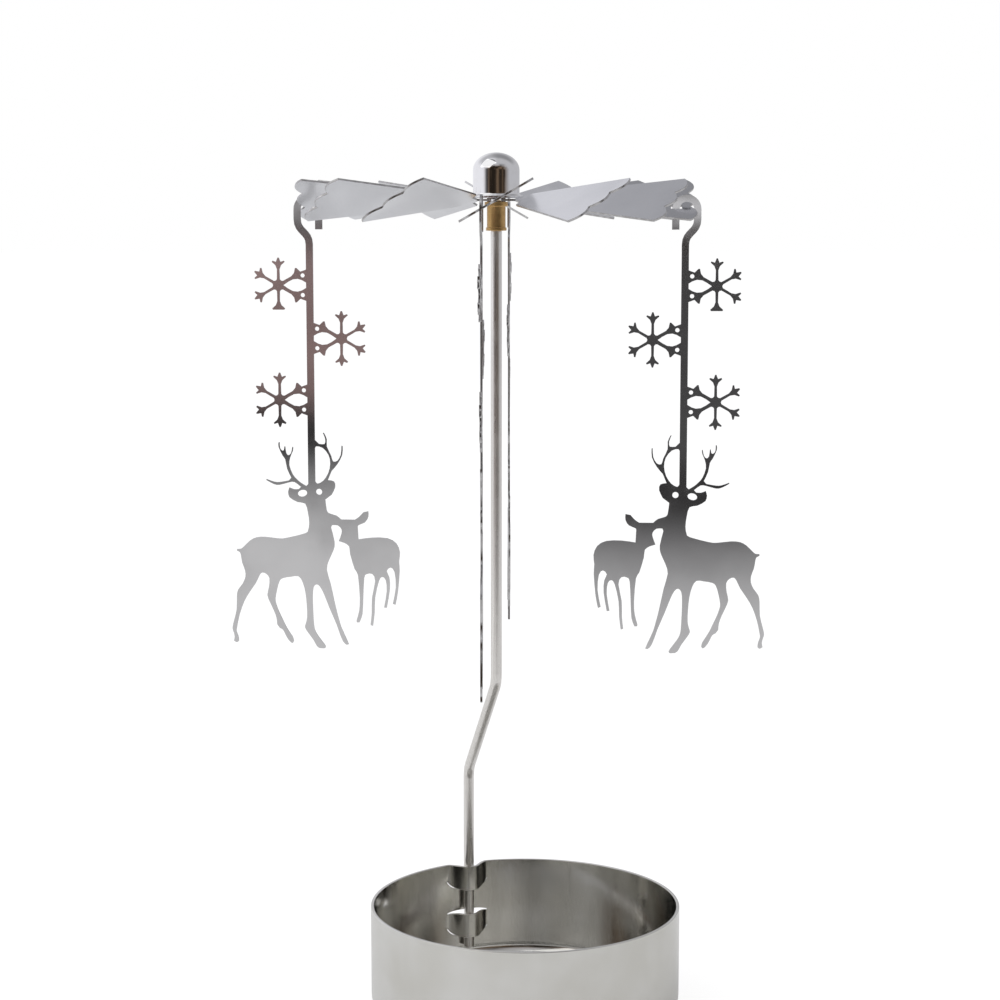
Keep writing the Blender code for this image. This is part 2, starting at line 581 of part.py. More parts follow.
def figure_sheet():
    """The figure's flat solid about the hook's middle: x outwards, y up, z through the sheet."""
    stem = STEM_WIDTH / UNIT / 2
    left, right = strip(hook_path(), STEM_WIDTH / UNIT)
    outline = list(left)
    holes = []
    inward = []
    for side, height, open_foot in FLAKES:
        edge, gaps = flake(side, height, open_foot)
        holes += gaps
        if side > 0:
            outline += edge
        else:
            inward += edge[::-1]
    outline.append((stem, HEAD_TOP))
    for run in BUCK + DOE:
        outline += smooth(run)
    outline += [(-stem, ANTLER_TOP)] + inward + right[::-1]

    window = smooth([(-stem, WINDOW_TOP)] + ANTLER_WINDOW + [(-stem, WINDOW_FOOT)])
    holes.append(window)
    for middle, half, tilt in EYES:
        round_eye = np.array(arc((0, 0), 1, 0, 330, 11)) * half
        turn = math.radians(tilt)
        x = middle[0] + round_eye[:, 0] * math.cos(turn) - round_eye[:, 1] * math.sin(turn)
        y = middle[1] + round_eye[:, 0] * math.sin(turn) + round_eye[:, 1] * math.cos(turn)
        holes.append(list(zip(x, y)))

    work = bmesh.new()
    loops = []
    for loop in [outline] + holes:
        places = [(x * UNIT - HOOK_SHIFT, y * UNIT - HOOK_RISE, -FIGURE_SHEET / 2) for x, y in loop]
        loops.append([work.verts.new(place) for place in places])
    fill(work, loops)
    raised = bmesh.ops.extrude_face_region(work, geom=list(work.faces))
    lifted = [item for item in raised["geom"] if isinstance(item, bmesh.types.BMVert)]
    bmesh.ops.translate(work, verts=lifted, vec=(0, 0, FIGURE_SHEET))
    return mesh_from(work, "figure")


def hook_height():
    """Height of a hook's middle, so that the hook clears the corners of the sloping bridge it hangs on."""
    bridge_top = FAN_Z + SLOT_SIDE * math.sin(PITCH_ANGLE) + FAN_SHEET / 2 / math.cos(PITCH_ANGLE)
    bridge_top += FIGURE_SHEET / 2 * math.tan(PITCH_ANGLE)
    clear = HOOK_INSIDE - RUN_GAP
    return bridge_top - math.sqrt(clear ** 2 - (BRIDGE / 2) ** 2)


def figures(axis):
    """Four figures on every third blade, each with its origin on its own hinge line."""
    data = figure_sheet()
    height = hook_height()
    side = SLOT_SIDE * math.cos(PITCH_ANGLE)
    names = {"figure_right": 0, "figure_back": 90, "figure_left": 180, "figure_front": 270}
    for name, azimuth in names.items():
        angle = math.radians(azimuth)
        place = Vector((
            HOOK_REACH * math.cos(angle) - side * math.sin(angle),
            HOOK_REACH * math.sin(angle) + side * math.cos(angle),
            height,
        ))
        made = bpy.data.objects.new(name, data)
        bpy.context.collection.objects.link(made)
        facing = Matrix.Rotation(angle - math.radians(FIGURE_TURN), 4, "Z")
        upright = Matrix.Rotation(math.radians(90), 4, "X")
        made.parent = axis
        made.matrix_local = Matrix.Translation(place - axis.location) @ facing @ upright
    data.materials.append(STEEL)


cup()
rod()
rotor_axis = bpy.data.objects.new("rotor_axis", None)
rotor_axis.location = (0, 0, FAN_Z)
bpy.context.collection.objects.link(rotor_axis)
for piece in (fan(), *hub()):
    piece.parent = rotor_axis
    piece.matrix_parent_inverse = Matrix.Translation((0, 0, -FAN_Z))
figures(rotor_axis)
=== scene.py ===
"""Looks of a spinning tealight holder: polished sheet, bright wire, a chromed cap and a turned brass sleeve.

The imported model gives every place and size. Each operator makes one piece, or one group of like pieces,
as a surface worked out on a grid, and lets it ride on the body of the part it stands for.
"""
import math

import bmesh
import bpy
import numpy as np
from bpy.props import FloatProperty, FloatVectorProperty, IntProperty, PointerProperty
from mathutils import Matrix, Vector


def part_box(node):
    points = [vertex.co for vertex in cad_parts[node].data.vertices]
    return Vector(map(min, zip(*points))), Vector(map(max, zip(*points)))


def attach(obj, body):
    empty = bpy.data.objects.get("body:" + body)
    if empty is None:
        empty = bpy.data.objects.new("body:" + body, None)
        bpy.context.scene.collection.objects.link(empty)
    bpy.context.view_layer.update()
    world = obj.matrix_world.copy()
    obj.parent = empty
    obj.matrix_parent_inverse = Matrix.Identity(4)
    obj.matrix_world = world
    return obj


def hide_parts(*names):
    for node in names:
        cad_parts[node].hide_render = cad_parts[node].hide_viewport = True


bl_info = {
    "name": "Spinning tealight holder",
    "version": (1, 0, 0),
    "blender": (4, 5, 0),
    "location": "3D View > Sidebar > Tealight holder",
    "description": "Dresses the packed model of a spinning tealight holder",
    "category": "Object",
}

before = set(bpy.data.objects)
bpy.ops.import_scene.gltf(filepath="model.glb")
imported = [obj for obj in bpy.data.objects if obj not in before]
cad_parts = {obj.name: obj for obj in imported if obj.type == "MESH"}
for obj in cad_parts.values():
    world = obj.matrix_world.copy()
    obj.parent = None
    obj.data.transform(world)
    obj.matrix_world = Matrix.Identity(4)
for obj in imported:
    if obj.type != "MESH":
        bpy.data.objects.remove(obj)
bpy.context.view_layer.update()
CUP_LOW, CUP_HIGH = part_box("candle_cup")
ROD_LOW, ROD_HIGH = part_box("stand_rod")
FAN_LOW, FAN_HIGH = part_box("rotor_fan")
CAP_LOW, CAP_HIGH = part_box("hub_cap")
SLEEVE_LOW, SLEEVE_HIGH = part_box("bearing_sleeve")
FIGURE_NODES = ("figure_front", "figure_left", "figure_back", "figure_right")
TWISTED_NODES = ("figure_front", "figure_back")

# Fineness of the grids that the pieces are worked out on
FLOOR_RINGS = 12
CORNER_STEPS = 14
BAND_ROWS = 7
STRAP_COLUMNS = 49
WALL_COLUMNS = 220
CRANK_STEPS = 25
WIRE_SIDES = 40
BLADE_ROWS = 14
SLOT_ROWS = 4
TIP_ROWS = 5
BLADE_COLUMNS = (9, 4, 4, 10, 15)  # to the slot, over it, to the neck, over it, to the other side
NECK_ROWS = 15
NECK_COLUMNS = 11
GAP_COLUMNS = 8
HUB_RINGS = 8
ROUND_STEPS = 5
COVE_STEPS = 10
DOME_STEPS = 32
LINING_STEPS = 20
CAP_SIDES = 96
SLEEVE_SIDES = 80
TABLE_POINTS = 9
EDGE_STEPS = 2


def angle(name, description, degrees):
    """An angle that a user can change."""
    return FloatProperty(name=name, description=description, default=math.radians(degrees), subtype="ANGLE")


def length(name, description, default):
    """A length that a user can change, in metres."""
    return FloatProperty(name=name, description=description, default=default, unit="LENGTH", precision=5)


def colour(name, description, default):
    """A colour that a user can change, in linear values."""
    return FloatVectorProperty(name=name, description=description, default=default, size=3, subtype="COLOR",
                               min=0, max=1)


def limits(name, description, default):
    """Where something starts and ends: a pair of metres, of shares or of a direction's parts."""
    return FloatVectorProperty(name=name, description=description, default=default, size=2, precision=4)


def share(name, description, default):
    """A part of a whole that a user can change."""
    return FloatProperty(name=name, description=description, default=default, subtype="FACTOR", min=0, max=1)


class CupSizes(bpy.types.PropertyGroup):
    """Sizes of the drawn cup and of the straps pressed from its wall."""
    radius: length("Radius", "Outside radius of the cup", (CUP_HIGH.x - CUP_LOW.x) / 2)
    height: length("Height", "Height of the rim above the table", CUP_HIGH.z)
    offset: length("Offset", "Cup's axis, to the right of the fan's axis", (CUP_HIGH.x + CUP_LOW.x) / 2)
    sheet: length("Sheet", "Thickness of the cup's sheet", 0.0006)
    corner: length("Corner", "Radius of the bottom corner at the middle of the sheet", 0.0032)
    strap_azimuth: angle("Strap azimuth", "Where the straps stand on the wall", 113.6)
    strap_half: length("Strap half", "Half a strap's length along the wall", 0.0045)
    strap_flat: share("Strap flat", "Part of that half which is pressed in fully", 0.12)
    strap_round: length("Strap round", "Rounding of a strap's lower corners", 0.0016)
    strap_round_top: length("Strap round top", "Rounding of the lower strap's upper corners", 0.0004)
    strap_power: IntProperty(name="Strap power", default=4, min=2,
                             description="Power with which a strap's corners bend towards its ends")
    strap_height: length("Strap height", "Height of one strap", 0.0052)
    strap_spacing: length("Strap spacing", "Plain wall between the straps", 0.0048)
    strap_depth: length("Strap depth", "How far a strap is pressed in", 0.003)
    slit: length("Slit", "Height of the cut along a strap", 0.00025)
    edge: length("Edge", "Rounding of the sheet's edges", 0.00014)


class RodSizes(bpy.types.PropertyGroup):
    """Sizes of the cranked wire and its needle point."""
    radius: length("Radius", "Radius of the wire", 0.00105)
    bend: length("Bend", "Bend radius at the middle of the wire", 0.0045)
    circle: length("Circle", "Distance of the wire's foot from the cup's axis", 0.0282)
    crank_low: length("Crank low", "Height of the lower bend's corner", 0.0412)
    crank_high: length("Crank high", "Height of the upper bend's corner", 0.0646)
    needle: length("Needle", "Length of the ground point", 0.004)
    point: length("Point", "Radius left at the point", 0.00015)
    chamfer: length("Chamfer", "Broken edge of the cut lower end", 0.0002)


class FanSizes(bpy.types.PropertyGroup):
    """Sizes of the fan, which is cut from one sheet and twisted at the blades' necks."""
    level: length("Level", "Middle of the fan's sheet above the table", 0.1567)
    sheet: length("Sheet", "Thickness of the fan's sheet", 0.0004)
    blades: IntProperty(name="Blades", description="How many blades", default=12, min=4)
    pitch: angle("Pitch", "Lean of a blade", 30)
    hole: length("Hole", "Radius of the middle hole", 0.0019)
    hub: length("Hub", "Radius of the hub disc", 0.008)
    neck_half: length("Neck half", "Half the width of a neck", 0.0009)
    root: length("Root", "Distance of a blade's root from the axis", 0.0103)
    root_half: length("Root half", "Half a blade's width at its root", 0.002)
    corner: length("Corner", "Distance of a blade's outer corners from the axis", 0.0359)
    tip_half: length("Tip half", "Half a blade's width at its tip", 0.0074)
    lobes: IntProperty(name="Lobes", description="Lobes along the tip", default=3, min=1)
    lobe_rise: length("Lobe rise", "How far a lobe bulges beyond its ends", 0.0014)
    slot_marks: limits("Slot marks", "Where the slot's columns start on the root's shoulder", (0.5, 0.2))
    slot_side: length("Slot side", "Slot's place across the blade", -0.0029)
    slot_half: length("Slot half", "Half the width of a slot", 0.0006)
    slot_length: length("Slot length", "Length of a slot", 0.002135)
    bridge: length("Bridge", "Metal between the slot and the tip", 0.00175)
    edge: length("Edge", "Rounding of the sheet's edges", 0.00006)


class HubSizes(bpy.types.PropertyGroup):
    """Sizes of the chromed cap and the brass sleeve."""
    cap_flange: length("Cap flange", "Flange beyond the cap's side", 0.0007)
    cap_sheet: length("Cap sheet", "Thickness of the cap's wall", 0.0005)
    cap_crown: length("Cap crown", "Rise of the cap's domed top over its straight side", 0.0033)
    cap_cove: length("Cap cove", "Radius of the cove between the flange and the side", 0.0005)
    sleeve_radius: length("Sleeve radius", "Outside radius of the sleeve", 0.00175)
    sleeve_bore: length("Sleeve bore", "Radius of the sleeve's bore", 0.00135)
    lip: length("Lip", "Lip at the sleeve's lower end, beyond its side", 0.00018)
    lip_height: length("Lip height", "Height of that lip", 0.0006)
    shoulder: length("Shoulder", "Radius of the shoulder under the fan", 0.0022)
    shoulder_top: length("Shoulder top", "Height of the shoulder's upper face", 0.15635)
    shoulder_height: length("Shoulder height", "Height of the shoulder", 0.0008)
    edge: length("Edge", "Rounding of the turned edges", 0.00012)


class FigureSizes(bpy.types.PropertyGroup):
    """Finish of the cut-sheet figures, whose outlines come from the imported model."""
    edge: length("Edge", "Rounding of the cut edges", 0.00005)
    merge: length("Merge", "Points closer than this are one", 0.000002)
    twist: angle("Twist", "Twist of the front and back sheets between hook and antlers", 3.2)
    twist_drop: length("Twist drop", "Length of the sheet that the twist takes up", 0.06)
    strip: length("Strip", "Height of the strips that a twisted sheet bends in", 0.002)
    sliver: length("Sliver", "Edges shorter than this are closed after that cut", 0.00004)
    flat: angle("Flat", "Faces that meet at less than this are one", 0.5)
    facing: share("Facing", "Cosine from which a face belongs to the sheet's flats", 0.9)


class Finishes(bpy.types.PropertyGroup):
    """Colours of the metals."""
    sheet_light: colour("Sheet light", "Polished sheet where it is cleanest", (0.65, 0.645, 0.65))
    sheet_dark: colour("Sheet dark", "Polished sheet under handling marks", (0.56, 0.555, 0.56))
    fan_light: colour("Fan light", "Satin sheet where it is cleanest", (0.76, 0.767, 0.797))
    fan_dark: colour("Fan dark", "Satin sheet under handling marks", (0.69, 0.696, 0.726))
    cut_edge: colour("Cut edge", "Edges left by cutting the sheet", (0.42, 0.41, 0.41))
    cup_light: colour("Cup light", "Drawn cup where it is cleanest", (0.75, 0.745, 0.72))
    cup_dark: colour("Cup dark", "Drawn cup with heat and handling tints", (0.66, 0.65, 0.61))
    wire: colour("Wire", "Bright drawn wire", (0.88, 0.86, 0.83))
    wire_dark: colour("Wire dark", "Draw marks along the wire", (0.76, 0.74, 0.71))
    chrome: colour("Chrome", "Chromed cap", (0.86, 0.86, 0.87))
    chrome_dull: colour("Chrome dull", "Chrome where it was handled", (0.76, 0.74, 0.71))
    brass: colour("Brass", "Turned brass", (0.56, 0.36, 0.15))
    brass_dark: colour("Brass dark", "Tarnish in the turned rings", (0.36, 0.215, 0.085))
    seat: colour("Seat", "Hardened seat on the needle", (0.42, 0.42, 0.45))


class StageSizes(bpy.types.PropertyGroup):
    """Camera, floor and light."""
    camera_place: FloatVectorProperty(name="Camera place", description="Where the camera stands",
                                      default=(0.0007, -0.430, 0.1567), size=3, subtype="TRANSLATION",
                                      precision=4)
    camera_pitch: angle("Camera pitch", "How far the camera looks down", 7.5)
    lens: FloatProperty(name="Lens", description="Focal length in millimetres", default=82.04)
    film: FloatProperty(name="Film", description="Width of the film in millimetres", default=36.0)
    near: length("Near", "Nearest distance that the camera shows", 0.01)
    floor_size: length("Floor size", "Side of the floor", 13.0)
    floor_rough: share("Floor rough", "Roughness of the floor", 0.7)
    floor_white: FloatProperty(name="Floor white", description="White that the camera sees", default=1.3)
    floor_share: share("Floor share", "Share of that white, the rest keeps the shadows", 0.6)
    split: limits("Split", "Sideways, where the floor's left half turns into its right half", (-0.06, 0.03))
    split_slope: share("Split slope", "How far that split runs left for each metre to the front", 0.1)
    fade_left: limits("Fade left", "In front, on the left: where the pale table fades", (0.52, 1.06))
    fade_right: limits("Fade right", "The same on the right", (0.36, 0.76))
    rise_left: limits("Rise left", "In front, on the left: where the room's floor lightens", (1.14, 1.60))
    rise_right: limits("Rise right", "The same on the right", (0.80, 1.05))
    # Painted light: where the far floor on the left is painted lighter, in place of more light falling there
    painted_light_far: limits("Rise far", "In front, on the left: where it lightens once more", (2.0, 7.0))
    paper: colour("Paper", "Pale table", (0.86, 0.86, 0.865))
    far_table: colour("Far table", "Table's far edge in the shade", (0.030, 0.029, 0.030))
    boards: colour("Boards", "Floor of the room beyond the table, on the right", (0.100, 0.100, 0.101))
    boards_warm: colour("Boards warm", "Floor of the room beyond the table, on the left", (0.47, 0.31, 0.29))
    # Painted light: the far floor's colour is raised in place of more light falling on it
    boards_far_painted_light: colour("Boards far", "The same floor farther away", (0.80, 0.54, 0.52))

    sky: FloatProperty(name="Sky", description="Even light from all round", default=0.72)
    open_sky: colour("Open sky", "Pale surroundings that the metal mirrors", (0.90, 0.90, 0.94))
    shade: share("Shade", "How much darker they are on the right", 0.42)
    shade_side: limits("Shade side", "From left to right, where that shade comes in", (-0.30, 0.10))
    ceiling: share("Ceiling", "How much darker they are high up at the back", 0.45)
    ceiling_up: limits("Ceiling up", "Upwards, where the ceiling comes in", (0.35, 0.80))
    ceiling_back: limits("Ceiling back", "Backwards, where the ceiling comes in", (0.0, 0.4))
    room: colour("Room", "Dim room on the viewer's side", (0.020, 0.015, 0.011))
    room_brown: colour("Room brown", "Browner places in that room", (0.17, 0.115, 0.075))
    room_cloud: FloatProperty(name="Room cloud", description="Scale of the room's pattern", default=2.2)
    room_detail: FloatProperty(name="Room detail", description="Detail of that pattern", default=3.0)
    room_uneven: share("Room uneven", "How far that pattern moves the room's edges", 0.5)
    room_patches: limits("Room patches", "From dark to brown in the room's cloudy pattern", (0.42, 0.66))
    room_back: limits("Room back", "Backwards, where the room ends", (-0.80, -0.30))
    room_up: limits("Room up", "Upwards, where the room ends", (0.45, 0.95))
    daylight: colour("Daylight", "Narrow strip of daylight across the room", (0.9, 0.9, 0.92))
    daylight_low: limits("Daylight low", "Upwards, where the strip starts", (-0.0095, -0.0070))
    daylight_high: limits("Daylight high", "Upwards, where the strip ends", (0.002, 0.006))
    daylight_back: limits("Daylight back", "Backwards, where the strip ends", (-0.99, -0.95))

    lamp_power: FloatProperty(name="Lamp power", description="Soft lamp above, in watts", default=7.6)
    lamp_side: length("Lamp side", "Side of the soft lamp", 1.6)
    lamp_place: FloatVectorProperty(name="Lamp place", description="Where the soft lamp hangs",
                                    default=(-0.9, -0.5, 1.3), size=3, subtype="TRANSLATION")
    lamp_cover: share("Lamp cover", "How much of the sky the lamp hides behind it", 0.9)
    lamp_reach: limits("Lamp reach", "Cosine off the lamp's middle, where that comes in", (0.83, 0.90))


class HolderSettings(bpy.types.PropertyGroup):
    """Everything that a user can change."""
    cup: PointerProperty(type=CupSizes)
    rod: PointerProperty(type=RodSizes)
    fan: PointerProperty(type=FanSizes)
    hub: PointerProperty(type=HubSizes)
    figure: PointerProperty(type=FigureSizes)
    finish: PointerProperty(type=Finishes)
    stage: PointerProperty(type=StageSizes)


# Node trees written as Python expressions

class Socket:
    """An output socket on which Python arithmetic adds Math nodes, also with a number on either side."""

    def __init__(self, tree, output=None):
        self.tree = tree
        self.output = output

    def add(self, kind, settings=None, inputs=None, output=0):
        """Any node: its type, then its settings, then the values or links of its sockets."""
        made = self.tree.nodes.new(kind)
        for name, value in (settings or {}).items():
            setattr(made, name, value)
        for name, value in (inputs or {}).items():
            self.feed(made.inputs[name], value)
        return Socket(self.tree, made.outputs[output])

    def feed(self, target, value):
        """Links a socket to an input, or sets the input to a plain value."""
        if isinstance(value, Socket):
            self.tree.links.new(value.output, target)
        else:
            target.default_value = value

    def math(self, operation, first, second):
        """A Math node on two sockets or numbers."""
        return self.add("ShaderNodeMath", {"operation": operation}, {0: first, 1: second})

    def __add__(self, other):
        return self.math("ADD", self, other)

    __radd__ = __add__

    def __sub__(self, other):
        return self.math("SUBTRACT", self, other)

    def __rsub__(self, other):
        return self.math("SUBTRACT", other, self)

    def __mul__(self, other):
        return self.math("MULTIPLY", self, other)

    __rmul__ = __mul__

    def step(self, low, high):
        """0 below low, 1 above high, eased in between."""
        settings = {"interpolation_type": "SMOOTHSTEP"}
        return self.add("ShaderNodeMapRange", settings, {"Value": self, "From Min": low, "From Max": high})

    def blend(self, first, second):
        """The first colour where this value is 0, the second where it is 1."""
        inputs = {0: self, 6: plain(first), 7: plain(second)}
        return self.add("ShaderNodeMix", {"data_type": "RGBA"}, inputs, output=2)


def plain(value):
    """A colour property as the four numbers that a colour socket takes; sockets pass through."""
    return value if isinstance(value, Socket) else (*value, 1.0)


class Metal:
    """A Principled metal under construction, with helpers for grain on the piece's own coordinates."""

    def __init__(self, name):
        self.material = bpy.data.materials.new(name)
        self.material.use_nodes = True
        self.tree = self.material.node_tree
        self.shader = self.tree.nodes["Principled BSDF"]
        self.shader.inputs["Metallic"].default_value = 1.0
        self.start = Socket(self.tree)
        self.place = self.start.add("ShaderNodeTexCoord", output="Object")

    def stretched(self, scale, shift=(0, 0, 0)):
        """Coordinates moved, then stretched along the axes."""
        inputs = {"Vector": self.place, "Location": shift, "Scale": scale}
        return self.start.add("ShaderNodeMapping", None, inputs)

    def noise(self, per_metre, vector=None, detail=2.0):
        """Noise with that many cells to a metre."""
        inputs = {"Vector": vector or self.place, "Scale": per_metre, "Detail": detail}
        return self.start.add("ShaderNodeTexNoise", None, inputs)

    def bump(self, height, distance, normal=None):
        """Surface raised by height times distance, on top of another bump."""
        inputs = {"Height": height, "Distance": distance}
        if normal:
            inputs["Normal"] = normal
        return self.start.add("ShaderNodeBump", None, inputs)

    def set(self, **values):
        """Feeds the shader's sockets; an underscore in a name stands for a space."""
        for name, value in values.items():
            self.start.feed(self.shader.inputs[name.replace("_", " ").title()], value)
        return self.material


def polished_sheet(finish):
    """Mirror-polished sheet: slow waves in the sheet, cloudy handling marks and fine polishing lines."""
    metal = Metal("polished_sheet")
    cloud = metal.noise(70, detail=3.0).step(0.35, 0.7)
    marks = metal.noise(260, detail=4.0).step(0.5, 0.8)
    lines = metal.noise(900, metal.stretched((1, 1, 0.06)), detail=1.0)
    waves = metal.bump(metal.noise(38, detail=0.0), 0.00005)
    return metal.set(
        base_color=cloud.blend(finish.sheet_light, finish.sheet_dark),
        roughness=0.04 + 0.03 * cloud + 0.04 * marks,
        normal=metal.bump(lines, 0.0000012, waves),
    )


def satin_sheet(finish):
    """Sheet as rolled: satin, with cloudy handling marks and faint rolling lines."""
    metal = Metal("satin_sheet")
    cloud = metal.noise(60, detail=3.0).step(0.35, 0.7)
    lines = metal.noise(1400, metal.stretched((0.05, 1, 1)), detail=1.0)
    return metal.set(
        base_color=cloud.blend(finish.fan_light, finish.fan_dark),
        roughness=0.20 + 0.05 * cloud + 0.03 * lines,
        normal=metal.bump(lines, 0.0000005),
    )


def cut_edge(finish):
    """Edges left by cutting: satin, with faint lines through the sheet."""
    metal = Metal("cut_edge")
    ticks = metal.noise(900, detail=1.0).step(0.3, 0.7)
    return metal.set(
        base_color=ticks.blend(finish.cut_edge, finish.sheet_dark),
        roughness=0.26 - 0.06 * ticks,
        normal=metal.bump(ticks, 0.000002),
    )


def drawn_cup(finish, offset):
    """Drawn and polished cup: rings about its axis, streaks up the wall and tints from handling and heat."""
    metal = Metal("drawn_cup")
    flat = metal.stretched((1, 1, 0), (-offset, 0, 0))
    radius = metal.start.add("ShaderNodeVectorMath", {"operation": "LENGTH"}, {0: flat}, output="Value")
    height = metal.start.add("ShaderNodeSeparateXYZ", None, {0: metal.place}, output="Z")
    ring_place = metal.start.add("ShaderNodeCombineXYZ", None, {"X": radius, "Y": height})
    rings = metal.noise(2400, ring_place, detail=2.0)
    streaks = metal.noise(420, metal.stretched((1, 1, 0.08)), detail=3.0)
    tint = metal.noise(60, detail=3.0).step(0.3, 0.7)
    slow = metal.bump(metal.noise(45, detail=1.0), 0.00012)
    return metal.set(
        base_color=tint.blend(finish.cup_light, finish.cup_dark),
        roughness=0.10 + 0.10 * streaks.step(0.4, 0.8) + 0.05 * tint,
        normal=metal.bump(rings + 0.5 * streaks, 0.000003, slow),
    )


def bright_wire(finish):
    """Drawn wire: long draw marks and small dull patches from handling."""
    metal = Metal("bright_wire")
    draws = metal.noise(5200, metal.stretched((1, 1, 0.012)), detail=2.0).step(0.35, 0.7)
    patches = metal.noise(240, detail=3.0).step(0.5, 0.75)
    return metal.set(
        base_color=draws.blend(finish.wire, finish.wire_dark),
        roughness=0.27 + 0.07 * draws + 0.07 * patches,
        normal=metal.bump(draws, 0.0000015),
    )


def chromed_cap(finish):
    """Bright chrome, dulled where it was handled, with a little ripple from the pressed dome under it."""
    metal = Metal("chromed_cap")
    ripple = metal.noise(420, detail=1.0)
    handling = metal.noise(900, detail=2.0).step(0.45, 0.75)
    return metal.set(
        base_color=(0.25 * handling).blend(finish.chrome, finish.chrome_dull),
        roughness=0.035 + 0.05 * handling,
        normal=metal.bump(ripple, 0.00002),
    )


def turned_brass(finish):
    """Brass off the lathe: fine rings along the axis, tarnished in their grooves."""
    metal = Metal("turned_brass")
    rings = metal.noise(5200, metal.stretched((0.02, 0.02, 1)), detail=1.0).step(0.3, 0.75)
    tarnish = metal.noise(600, detail=3.0).step(0.45, 0.75)
    return metal.set(
        base_color=(0.15 * rings + 0.6 * tarnish).blend(finish.brass, finish.brass_dark),
        roughness=0.28 + 0.08 * rings,
        normal=metal.bump(rings, 0.0000002),
    )


def hard_seat(finish):
    """Ground and hardened steel, slightly mottled."""
    metal = Metal("hard_seat")
    mottle = metal.noise(1500, detail=3.0)
    return metal.set(
        base_color=mottle.step(0.35, 0.7).blend(finish.seat, finish.wire),
        roughness=0.18 + 0.14 * mottle,
    )


# Surfaces worked out on grids

def quads(rows, columns, closed=False):
    """Corner numbers of the cells of a grid; a closed grid joins its last column to its first."""
    row = np.arange(rows - 1)[:, None]
    column = np.arange(columns if closed else columns - 1)[None, :]
    after = (column + 1) % columns
    lower = row * columns
    upper = lower + columns
    return np.stack([lower + column, lower + after, upper + after, upper + column], axis=-1)


def eased(part):
    """A share that leaves 0 and reaches 1 gently: 3 p^2 - 2 p^3."""
    part = np.clip(part, 0, 1)
    return part ** 2 * (3 - 2 * part)


def arc(middle, radius, start, end, steps):
    """Points of a circular arc as an array of (across, up), angles in degrees."""
    turn = np.radians(np.linspace(start, end, steps + 1))
    return np.stack([middle[0] + radius * np.cos(turn), middle[1] + radius * np.sin(turn)], axis=1)


def surface(name, points, faces, merge=1e-7):
    """A mesh from arrays of points and faces, with doubles merged so that seams and poles are closed."""
    mesh = bpy.data.meshes.new(name)
    mesh.from_pydata(points.reshape(-1, 3).tolist(), [], faces.reshape(-1, faces.shape[-1]).tolist())
    work = bmesh.new()
    work.from_mesh(mesh)
    bmesh.ops.remove_doubles(work, verts=work.verts, dist=merge)
    bmesh.ops.recalc_face_normals(work, faces=work.faces)
    work.to_mesh(mesh)
    work.free()
    return mesh


def spun(name, profile, sides):
    """A profile of (radius, height) points carried round the Z axis: x = r cos t, y = r sin t, z = h."""
    turn = np.linspace(0, 2 * np.pi, sides, endpoint=False)
    radius = profile[:, 0][:, None]
    height = np.broadcast_to(profile[:, 1][:, None], (len(profile), sides))
    points = np.stack([radius * np.cos(turn), radius * np.sin(turn), height], axis=-1)
    return surface(name, points, quads(len(profile), sides, closed=True))


def rounded(corners, radius):
    """A closed profile of (radius, height) corners with every corner rounded by a quadratic bend.

    A bend runs from the point before the corner to the point after it: (1-t)^2 a + 2t(1-t) c + t^2 b.
    It takes up less than half of a side.
    """
    most = 0.45
    corner = np.array(corners, float)
    before = np.roll(corner, 1, axis=0) - corner
    after = np.roll(corner, -1, axis=0) - corner
    reach_before = np.minimum(radius / np.linalg.norm(before, axis=1), most)[:, None]
    reach_after = np.minimum(radius / np.linalg.norm(after, axis=1), most)[:, None]
    start = corner + before * reach_before
    end = corner + after * reach_after
    t = np.linspace(0, 1, ROUND_STEPS + 1)[None, :, None]
    bend = (1 - t) ** 2 * start[:, None] + 2 * t * (1 - t) * corner[:, None] + t ** 2 * end[:, None]
    points = bend.reshape(-1, 2)
    return np.vstack([points, points[:1]])


def add_piece(name, mesh, materials, body, nodes, smooth_angle=40):
    """Links a mesh as a piece that rides on a body in place of some of its nodes."""
    for made in materials:
        mesh.materials.append(made)
    mesh.shade_smooth()
    mesh.set_sharp_from_angle(angle=math.radians(smooth_angle))
    piece = bpy.data.objects.new(name, mesh)
    bpy.context.scene.collection.objects.link(piece)
    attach(piece, body)
    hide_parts(*nodes)
    return piece


def thicken(piece, sheet, edge, edge_material=0):
    """Gives a middle surface its sheet thickness and breaks the sheet's edges."""
    solid = piece.modifiers.new("Sheet", "SOLIDIFY")
    solid.thickness = sheet
    solid.offset = 0.0
    solid.use_even_offset = True
    solid.material_offset_rim = edge_material
    break_edges(piece, edge, edge_material)


def break_edges(piece, edge, edge_material, sharp=50):
    """Rounds the edges that turn by more than sharp degrees a little, leaving the flats flat."""
    bevel = piece.modifiers.new("Broken edges", "BEVEL")
    bevel.width = edge
    bevel.segments = EDGE_STEPS
    bevel.limit_method = "ANGLE"
    bevel.angle_limit = math.radians(sharp)
    bevel.harden_normals = True
    bevel.material = edge_material


def settings():
    """Everything that a user can change, as it is set now."""
    return bpy.context.scene.tealight_holder


